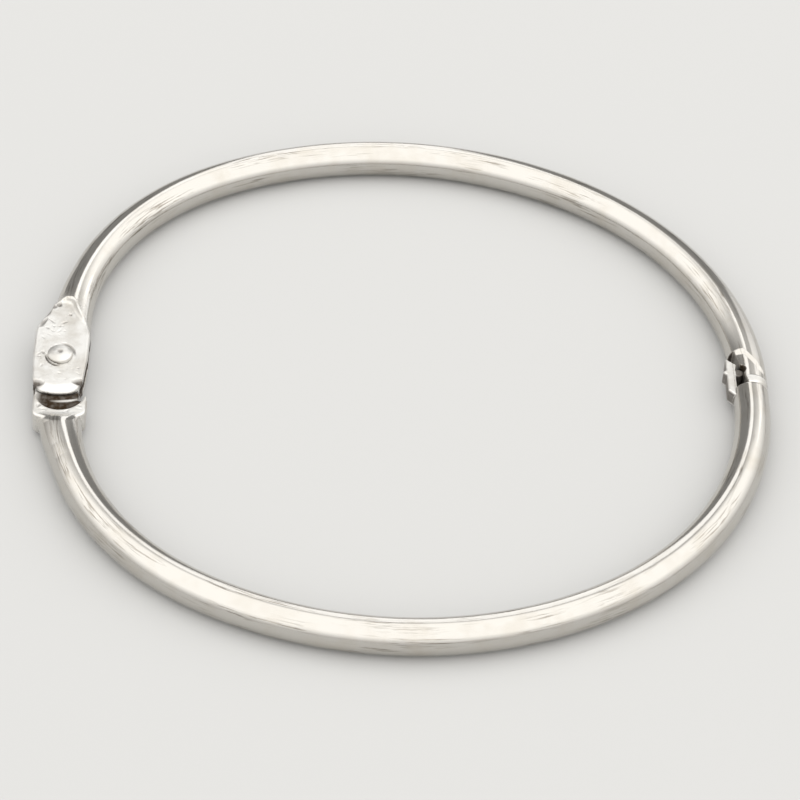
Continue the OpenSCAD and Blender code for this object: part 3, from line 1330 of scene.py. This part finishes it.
@dataclass(frozen=True)
class BendTree:
    """The node tree that bends a straight blank along a path.

    Attributes:
        name: The tree's name.
    """

    name: str = "bend_along_path"

    def build(self) -> bpy.types.NodeTree:
        """Builds the tree.

        The blank's X runs along the path, its Y outwards from the ring and its Z upwards. What lies past
        either end of the path goes straight on.

        Returns:
            The tree, with the inputs Path, Length, Side and Finish.
        """
        tree = bpy.data.node_groups.new(self.name, "GeometryNodeTree")
        for name, kind in (
            ("Geometry", "Geometry"),
            ("Path", "Object"),
            ("Length", "Float"),
            ("Side", "Float"),
            ("Finish", "Material"),
        ):
            tree.interface.new_socket(name, in_out="INPUT", socket_type="NodeSocket" + kind)
        tree.interface.new_socket("Geometry", in_out="OUTPUT", socket_type="NodeSocketGeometry")
        add = NodeMaker(tree)
        given = add("NodeGroupInput").outputs
        blank = add("ShaderNodeSeparateXYZ", Vector=add("GeometryNodeInputPosition").outputs[0]).outputs
        on_path = add("ShaderNodeClamp", Value=blank["X"], Max=given["Length"]).outputs[0]
        path = add("GeometryNodeObjectInfo", Object=given["Path"]).outputs["Geometry"]
        spot = add("GeometryNodeSampleCurve", Curves=path)
        spot.mode = "LENGTH"
        add.feed(spot.inputs["Length"], on_path)
        ahead, start = spot.outputs["Tangent"], spot.outputs["Position"]
        outward = add.maths(Maths.VECTORS, "CROSS_PRODUCT", ahead, (0.0, 0.0, 1.0))[0]
        beyond = add.maths(Maths.NUMBERS, "SUBTRACT", blank["X"], on_path)[0]
        across = add.product(blank["Y"], given["Side"])
        place = add.maths(Maths.VECTORS, "MULTIPLY_ADD", ahead, beyond, start)[0]
        place = add.maths(Maths.VECTORS, "MULTIPLY_ADD", outward, across, place)[0]
        lift = add("ShaderNodeCombineXYZ", Z=blank["Z"]).outputs[0]
        place = add.maths(Maths.VECTORS, "ADD", place, lift)[0]
        bent = add("GeometryNodeSetPosition", Geometry=given["Geometry"], Position=place).outputs[0]
        smooth = add("GeometryNodeSetShadeSmooth", Geometry=bent).outputs[0]
        solid = add("GeometryNodeRealizeInstances", Geometry=smooth).outputs[0]
        dressed = add("GeometryNodeSetMaterial", Geometry=solid, Material=given["Finish"]).outputs[0]
        add.feed(add("NodeGroupOutput").inputs[0], dressed)
        return tree

    @staticmethod
    def apply(
        tree: bpy.types.NodeTree, source: bpy.types.Object, name: str, **values: object
    ) -> bpy.types.Object:
        """Bends an object and turns it into a plain one.

        Args:
            tree: The tree that bends it.
            source: The object, which is removed.
            name: The plain object's name.
            **values: A value for each of the tree's inputs.

        Returns:
            The plain object.
        """
        bend = source.modifiers.new("bend", "NODES")
        bend.node_group = tree
        for item in tree.interface.items_tree:
            if item.item_type == "SOCKET" and item.in_out == "INPUT" and item.name in values:
                bend[item.identifier] = values[item.name]
        bpy.context.view_layer.update()
        ready = source.evaluated_get(bpy.context.evaluated_depsgraph_get())
        mesh = bpy.data.meshes.new_from_object(ready)
        mesh.name = name
        made = put(name, mesh)
        bpy.data.objects.remove(source)
        return made


@dataclass(frozen=True)
class Piece:
    """What both kinds of piece have.

    Attributes:
        name: The piece's name.
        node: The CAD node it stands for.
        body: The body it moves with.
        slot: Name of a material slot, which is not used.
        finish: Its plating.
    """

    name: str
    node: str
    body: str
    slot: str
    finish: NickelPlate

    def report(self, piece: bpy.types.Object) -> None:
        """Puts the piece on the body it rides on, hides the node it stands for and logs its face count.

        Args:
            piece: The finished object.
        """
        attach(piece, self.body)
        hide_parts(self.node)
        log.info("%s: %d faces", self.name, len(piece.data.polygons))


@dataclass(frozen=True)
class HalfRing(Piece):
    """One half of the ring, from its clasp end to its hinge end.

    Attributes:
        path: Its centreline.
        clasp_end: The finished clasp end.
        hinge_end: The pressed hinge end.
        fine, coarse: Grid spacing at the ends and along the plain wire.
        clasp_zone, hinge_zone: Lengths of the finely drawn ends.
        overhang: Length past each end that the grid covers.
        across, up: The places outwards that it covers, and the greatest height.
        cut_to: Length from the joint over which the clasp end's cuts look pressed.
        pressed_to, pressed_fade: Length past the rivet over which the hinge end does, and its last,
            fading part.
    """

    path: WirePath
    clasp_end: End
    hinge_end: ForkLeaf | HingeTongue
    fine: float = 0.13 * MM
    coarse: float = 1.1 * MM
    clasp_zone: float = 9.5 * MM
    hinge_zone: float = 21.0 * MM
    overhang: float = 8.0 * MM
    across: tuple[float, float] = (-4.2 * MM, 5.2 * MM)
    up: float = 2.85 * MM
    cut_to: float = 1.6 * MM
    pressed_to: float = 13.6 * MM
    pressed_fade: float = 2.4 * MM

    def ends(self, points: Array) -> list[tuple[End, Array, Spots]]:
        """Shares places out to the two ends.

        Args:
            points: Places as length along the wire, distance outwards and height.

        Returns:
            Each end, which of the places lie in its zone, and those as seen from it.
        """
        along, u, z = points.T
        found = []
        for end, past, zone in (
            (self.clasp_end, along, self.clasp_zone),
            (self.hinge_end, self.path.length - along, self.hinge_zone),
        ):
            near = past < zone
            found.append((end, near, Spots(past[near], u[near], z[near], self.path)))
        return found

    def blank(self, points: Array) -> Array:
        """Measures the straight blank's field, with both ends finished.

        Args:
            points: Places as length along the wire, distance outwards and height.

        Returns:
            The signed distance of each place.
        """
        body = np.hypot(points[:, 1], points[:, 2]) - self.path.wire_d / 2
        for end, near, at in self.ends(points):
            body[near] = end.press(at)
        return body

    def grime(self, points: Array) -> Array:
        """Finds how much painted shade each place on the blank's surface has.

        Args:
            points: Places as length along the wire, distance outwards and height.

        Returns:
            The share for each place.
        """
        shade_paint = np.zeros(len(points))
        for end, near, at in self.ends(points):
            shade_paint[near] = end.grime(at)
        return shade_paint

    def pressed(self, points: Array) -> Array:
        """Finds how far each place on the blank's surface was pressed, from 0 on the drawn wire to 1.

        Args:
            points: Places as length along the wire, distance outwards and height.

        Returns:
            The share for each place.
        """
        along, u, z = points.T
        away = share(np.abs(self.path.wire_d / 2 - np.hypot(u, z)) / SKIN)
        near_hinge = share((self.pressed_to - self.path.length + along) / self.pressed_fade)
        on_flat = np.abs(np.abs(z) - self.hinge_end.hinge.leaf_t / 2) < SKIN
        return np.where(along < self.cut_to, away, near_hinge * np.where(on_flat, 1.0, away))

    def ticks(self) -> list[Array]:
        """Places the grid's lines, close together at the two ends."""
        length, hinge_at = self.path.length, self.path.length - self.hinge_zone
        along = [
            np.arange(-self.overhang, self.clasp_zone, self.fine),
            np.arange(self.clasp_zone, hinge_at, self.coarse),
            np.arange(hinge_at, length + self.overhang, self.fine),
        ]
        return [
            np.concatenate(along),
            np.arange(*self.across, self.fine),
            np.arange(-self.up, self.up, self.fine),
        ]

    def make(self, tree: bpy.types.NodeTree) -> bpy.types.Object:
        """Builds the piece.

        Args:
            tree: The tree that bends it.

        Returns:
            The finished object.
        """
        skin = Skin.wrap(self.blank, self.ticks())
        quads = skin.quads[:, ::-1] if self.path.half is Half.FORK else skin.quads
        mesh = bpy.data.meshes.new(self.name)
        mesh.from_pydata(skin.points.tolist(), [], quads.tolist())
        along, u, z = skin.points.T
        write_map(mesh, np.column_stack([along, np.arctan2(z, u) / (2 * math.pi)]), turns=True)
        write_shares(mesh, self.pressed(skin.points), self.grime(skin.points))
        line = self.path_object()
        piece = BendTree.apply(
            tree,
            put(self.name + "_blank", mesh),
            self.name,
            Path=line,
            Length=self.path.length,
            Side=self.path.half.value,
            Finish=self.finish.material(),
        )
        bpy.data.objects.remove(line)
        self.write_normals(piece.data, skin)
        self.report(piece)
        return piece

    def write_normals(self, mesh: bpy.types.Mesh, skin: Skin) -> None:
        """Gives the bent piece the field's own normals.

        Args:
            mesh: The bent mesh.
            skin: The blank's skin, with the same corners.
        """
        ahead, outward = self.path.frames(skin.points[:, 0])
        turned = skin.normals[:, :1] * ahead + skin.normals[:, 1:2] * outward
        turned[:, 2] += skin.normals[:, 2]
        mesh.normals_split_custom_set_from_vertices(turned.tolist())

    def path_object(self) -> bpy.types.Object:
        """Draws the centreline as a curve object."""
        points = self.path.centreline()
        curve = bpy.data.curves.new(self.name + "_path", "CURVE")
        curve.dimensions = "3D"
        line = curve.splines.new("POLY")
        line.points.add(len(points) - 1)
        line.points.foreach_set("co", np.column_stack([points, np.ones(len(points))]).ravel())
        return put(curve.name, curve)


@dataclass(frozen=True)
class Rivet(Piece):
    """The rivet, with a peened head on each ear.

    Attributes:
        hinge: Sizes shared with the fork.
        head_d, head_h: Diameter and height of the heads.
        lip: Height of the heads' upright edge.
        seat_gap, seat_in: Height and depth of the chamfer under that edge.
        mark_r, mark_depth: Radius and depth of the small mark left in the middle.
        squareness: How flat the heads' tops are, where 2 is a round dome.
        segments: Faces round the axis.
        hammered: How far it counts as pressed all over, which also gives it the pressed faces' lighter
            colour, a painted highlight.
        foot_fade: Height over which the painted shadow at the heads' feet fades.
        shade_paint: Strength of the painted shadow at the feet in the groove's arcs, of the painted shade on
            the heads' near sides and in the marks.
    """

    hinge: HingeSizes = HingeSizes()
    head_d: float = 3.5 * MM
    head_h: float = 0.8 * MM
    lip: float = 0.3 * MM
    seat_gap: float = 0.03 * MM
    seat_in: float = 0.1 * MM
    mark_r: float = 0.32 * MM
    mark_depth: float = 0.1 * MM
    squareness: float = 3.0
    segments: int = 72
    hammered: float = 0.75
    foot_fade: float = 0.2 * MM
    shade_paint: Triple = (0.65, 0.3, 0.6)

    @property
    def seat(self) -> float:
        """Height of the ears' faces, which the heads sit on."""
        return self.hinge.leaf_t / 2

    def profile(self, steps: int = 12) -> list[tuple[float, float]]:
        """Draws the upper half of the rivet, from the top's middle to the shank's waist.

        Args:
            steps: Points along the dome.

        Returns:
            Points as radius and height.
        """
        rim, rise = self.head_d / 2, self.head_h - self.lip
        dish = self.seat + self.head_h - self.mark_depth
        points = [(0.0, dish), (self.mark_r / 2, dish + 0.3 * self.mark_depth)]
        for i in range(steps + 1):
            radius = self.mark_r + (rim - self.mark_r) * math.sin(math.pi / 2 * i / steps)
            drop = (1 - (radius / rim) ** self.squareness) ** 0.5
            points.append((radius, self.seat + self.lip + rise * drop))
        shank = self.hinge.rivet_d / 2
        return points + [
            (rim, self.seat + self.seat_gap),
            (rim - self.seat_in, self.seat),
            (shank, self.seat),
            (shank, 0.0),
        ]

    def make(self) -> bpy.types.Object:
        """Builds the piece by turning its profile round the axis.

        Returns:
            The finished object.
        """
        low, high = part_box(self.node)
        middle = (low + high) / 2
        upper = self.profile()
        rings = upper[1:] + [(r, -z) for r, z in reversed(upper[1:-1])]
        n, last = self.segments, (len(rings) - 1) * self.segments
        angles = [2 * math.pi * i / n for i in range(n)]
        points = [(r * math.cos(a), r * math.sin(a), z) for r, z in rings for a in angles]
        top, bottom = len(points), len(points) + 1
        points += [(0.0, 0.0, upper[0][1]), (0.0, 0.0, -upper[0][1])]
        faces = []
        for i in range(n):
            j = (i + 1) % n
            faces += [(top, i, j), (bottom, last + j, last + i)]
            faces += [(row + i, row + n + i, row + n + j, row + j) for row in range(0, last, n)]
        mesh = bpy.data.meshes.new(self.name)
        placed = np.array(points) + (middle.x, middle.y, 0.0)
        mesh.from_pydata(placed.tolist(), [], faces)
        mesh.shade_smooth()
        mesh.set_sharp_from_angle(angle=math.radians(50))
        write_map(mesh, placed[:, :2] * (1.0, 1 / (10 * MM)))
        write_shares(mesh, np.full(len(points), self.hammered), self.grime(np.array(points)))
        mesh.materials.append(self.finish.material())
        piece = put(self.name, mesh)
        self.report(piece)
        return piece

    def grime(self, points: Array) -> Array:
        """Finds the rivet's painted shade: a painted shadow round the heads' feet, and painted shade on their
        near side and in their marks.

        Args:
            points: Places from the rivet's middle.

        Returns:
            The share for each place.
        """
        # Painted shadow in two arcs round the heads' feet, painted shade on their near side and painted shade
        # in the marks.
        x, y, z = points.T
        at_foot, on_side, in_mark = self.shade_paint
        radius = np.hypot(x, y)
        part = radius / (self.head_d / 2)
        foot = share(1.6 - (np.abs(z) - self.seat) / self.foot_fade) * (0.3 + at_foot * broken_arc(y, -x))
        side = np.maximum(-(x + y) / self.head_d, 0.0) * ((0.55 < part) & (part < 0.95))
        mark = share(1.6 - radius / self.mark_r)
        return np.max([foot, on_side * side, in_mark * mark], axis=0)


# ---------------------------------------------------------------- the studio


def direction(azimuth: float, elevation: float) -> Vector:
    """Points from the ring towards a place in the room.

    Args:
        azimuth: Degrees from the far side, clockwise seen from above.
        elevation: Degrees above the floor.

    Returns:
        The direction, of length 1.
    """
    turn, rise = math.radians(azimuth), math.radians(elevation)
    return Vector((math.sin(turn) * math.cos(rise), math.cos(turn) * math.cos(rise), math.sin(rise)))


@dataclass(frozen=True)
class Softbox:
    """A plain rectangular lamp that faces the ring.

    Attributes:
        name: The lamp's name.
        azimuth, elevation: Where it stands, in degrees from the far side, clockwise, and above the floor.
        width, height: Its size.
        glow: Its brightness, where 1 is white.
        distance: How far from the ring it stands.
    """

    name: str
    azimuth: float
    elevation: float
    width: float
    height: float
    glow: float
    distance: float = 0.9

    def make(self) -> bpy.types.Object:
        """Hangs the lamp.

        Returns:
            The lamp's object.
        """
        lamp = bpy.data.lights.new(self.name, "AREA")
        lamp.shape = "RECTANGLE"
        lamp.size, lamp.size_y = self.width, self.height
        lamp.energy = self.glow * math.pi * self.width * self.height
        place = direction(self.azimuth, self.elevation)
        made = put(self.name, lamp)
        made.location = self.distance * place
        made.rotation_euler = place.to_track_quat("Z", "Y").to_euler()
        return made


@dataclass(frozen=True)
class LightTent:
    """A soft white tent over the ring, open towards the far side.

    Attributes:
        top_glow, foot_glow: Brightness of its roof and where it meets the floor, where 1 is white.
        fade: Sines of the elevations between which the foot's glow grows to the roof's.
        open_glow: Brightness of the room beyond the opening.
        open_azimuth, open_elevation: The opening's middle, in degrees as for a lamp.
        open_edge: Cosines of the angles from that middle at which the opening's soft edge starts and ends.
        tint: Colour of its cloth, linear.
    """

    top_glow: float = 1.76
    foot_glow: float = 0.72
    fade: tuple[float, float] = (0.0, 0.55)
    open_glow: float = 0.33
    open_azimuth: float = -8.0
    open_elevation: float = -3.0
    open_edge: tuple[float, float] = (0.54, 0.74)
    tint: Triple = (1.0, 0.99, 0.97)

    def hang(self) -> None:
        """Makes the tent the scene's world."""
        world = bpy.data.worlds.new("light_tent")
        bpy.context.scene.world = world
        world.use_nodes = True
        add = NodeMaker(world.node_tree)
        way = add("ShaderNodeTexCoord").outputs["Generated"]
        height = add("ShaderNodeSeparateXYZ", Vector=way).outputs["Z"]
        cloth = add.ramp(height, *self.fade, self.foot_glow, self.top_glow)
        middle = tuple(direction(self.open_azimuth, self.open_elevation))
        towards = add.maths(Maths.VECTORS, "DOT_PRODUCT", way, middle)["Value"]
        sky = world.node_tree.nodes["Background"].inputs
        add.feed(sky["Strength"], add.mix(add.ramp(towards, *self.open_edge), cloth, self.open_glow))
        add.feed(sky["Color"], (*self.tint, 1.0))


@dataclass(frozen=True)
class Studio:
    """The floor, the lamps and the camera.

    Attributes:
        elevation, turn, roll: The camera's height, its way round the ring and its roll, in degrees.
        distance: The camera's distance from the ring's middle.
        lens, sensor: Focal length and width of the sensor, in millimetres.
        shift: The camera's shift, across and up.
        clip: Nearest and farthest distance that the camera sees.
        floor: Size of the floor.
        tent: The tent round the ring.
        boxes: The lamps that show through its opening.
    """

    elevation: float = 41.5
    turn: float = 3.0
    roll: float = 4.43
    distance: float = 0.465
    lens: float = 150.3
    sensor: float = 36.0
    shift: tuple[float, float] = (-0.01375, -0.0261)
    clip: tuple[float, float] = (0.01, 20.0)
    floor: float = 3.0
    tent: LightTent = LightTent()
    boxes: tuple[Softbox, ...] = (
        Softbox("back_strip", -1.0, 25.0, 0.2, 0.62, 1.4),
        Softbox("side_strip", 36.0, 16.0, 0.22, 0.5, 0.7),
    )

    def make(self, ground: float) -> None:
        """Sets the scene up.

        Args:
            ground: Height of the floor.
        """
        self.lay_floor(ground)
        for box in self.boxes:
            box.make()
        self.tent.hang()
        self.aim_camera()
        bpy.context.scene.view_settings.view_transform = "Standard"
        log.info("studio: %d lamps, camera at %.1f degrees", len(self.boxes), self.elevation)

    def lay_floor(self, ground: float) -> None:
        """Lays the floor.

        Args:
            ground: Its height.
        """
        reach = self.floor / 2
        corners = [(x * reach, y * reach, ground) for x, y in ((-1, -1), (1, -1), (1, 1), (-1, 1))]
        mesh = bpy.data.meshes.new("floor")
        mesh.from_pydata(corners, [], [(0, 1, 2, 3)])
        mesh.materials.append(PalePaper().material())
        put("floor", mesh)

    def aim_camera(self) -> None:
        """Places the camera and aims it at the ring's middle."""
        view = bpy.data.cameras.new("camera")
        view.lens = self.lens
        view.sensor_width = self.sensor
        view.shift_x, view.shift_y = self.shift
        view.clip_start, view.clip_end = self.clip
        place = direction(180.0 + self.turn, self.elevation)
        aim = place.to_track_quat("Z", "Y").to_matrix().to_4x4()
        roll = Matrix.Rotation(math.radians(self.roll), 4, "Z")
        camera = put("camera", view)
        camera.matrix_world = Matrix.Translation(self.distance * place) @ aim @ roll
        bpy.context.scene.camera = camera


# ---------------------------------------------------------------- the whole ring


def main() -> None:
    """Builds the ring piece by piece, and the studio round it."""
    logging.basicConfig(level=logging.INFO, format="%(name)s: %(message)s")
    low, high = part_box("fork_half_ring")
    wire_d = high.z - low.z
    clasp_x = high.x - wire_d / 2
    rivet_low, rivet_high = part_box("hinge_rivet")
    hinge = HingeSizes()
    hinge_x = (rivet_low.x + rivet_high.x) / 2 + hinge.shift
    Studio().make(low.z)
    tree = BendTree().build()
    HalfRing(
        name="fork_half",
        node="fork_half_ring",
        body="fork_half",
        slot="fork_half",
        finish=NickelPlate("fork_nickel"),
        path=WirePath(Half.FORK, wire_d, clasp_x, hinge_x),
        clasp_end=NotchedEnd(),
        hinge_end=ForkLeaf(hinge),
    ).make(tree)
    HalfRing(
        name="tongue_half",
        node="tongue_half_ring",
        body="tongue_half",
        slot="tongue_half",
        finish=NickelPlate("tongue_nickel"),
        path=WirePath(Half.TONGUE, wire_d, clasp_x, hinge_x),
        clasp_end=CatchEnd(),
        hinge_end=HingeTongue(hinge),
    ).make(tree)
    Rivet(
        name="rivet",
        node="hinge_rivet",
        body="fork_half",
        slot="rivet",
        finish=NickelPlate("rivet_nickel"),
        hinge=hinge,
    ).make()


if __name__ == "__main__":
    main()
